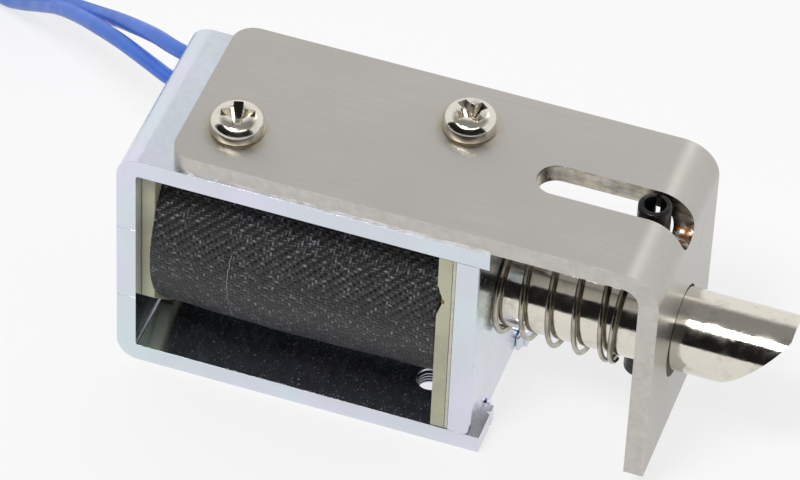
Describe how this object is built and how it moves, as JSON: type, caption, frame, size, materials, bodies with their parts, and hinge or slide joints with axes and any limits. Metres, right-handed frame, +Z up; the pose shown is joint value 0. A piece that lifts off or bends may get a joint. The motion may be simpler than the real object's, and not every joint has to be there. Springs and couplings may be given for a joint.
{
  "type": "push pull solenoid",
  "caption": "Open-frame push-pull solenoid with a sprung, bevelled latch bolt guided by a bent steel bracket, and two wire leads.",
  "frame": {"origin": "on the base face of the frame, midway between its two tapped mounting holes", "axes": "+X along the plunger towards the bolt's bevelled tip, +Z up through the latch bracket, base face down"},
  "size_m": [0.1105, 0.0707, 0.031],
  "materials": {
    "zinc_plated_steel": "satin",
    "bracket_stainless": "brushed",
    "bolt_nickel": "polished",
    "screw_nickel": "polished",
    "spring_steel": "satin",
    "pin_black": "satin",
    "core_steel": "satin",
    "tube_brass": "satin",
    "bobbin_nylon": "matte",
    "washer_paper": "matte",
    "copper_wire": "gloss",
    "cloth_tape": "matte",
    "splice_sleeve": "matte",
    "lead_pvc": "satin",
    "tinned_copper": "satin"
  },
  "bodies": {
    "frame": {"frame_yoke": "zinc_plated_steel", "end_plate": "zinc_plated_steel", "bobbin": "bobbin_nylon", "paper_washer": "washer_paper", "winding": "copper_wire", "coil_wrap": "cloth_tape", "splice_a": "splice_sleeve", "splice_b": "splice_sleeve", "guide_tube": "tube_brass", "fixed_core": "core_steel", "return_spring": "spring_steel", "latch_bracket": "bracket_stainless", "screw_left": "screw_nickel", "screw_right": "screw_nickel", "lead_wire_a": "lead_pvc", "lead_wire_b": "lead_pvc", "lead_coil": "lead_pvc", "lead_tip_a": "tinned_copper", "lead_tip_b": "tinned_copper"},
    "plunger": {"plunger": "bolt_nickel", "roll_pin": "pin_black"}
  },
  "joints": [
    {"name": "plunger_slide", "type": "slide", "parent": "frame", "child": "plunger", "axis": [1, 0, 0], "range_m": [-0.006, 0], "stiffness_N_per_m": 200, "springref_m": 0.01, "deforming": ["return_spring"]}
  ]
}
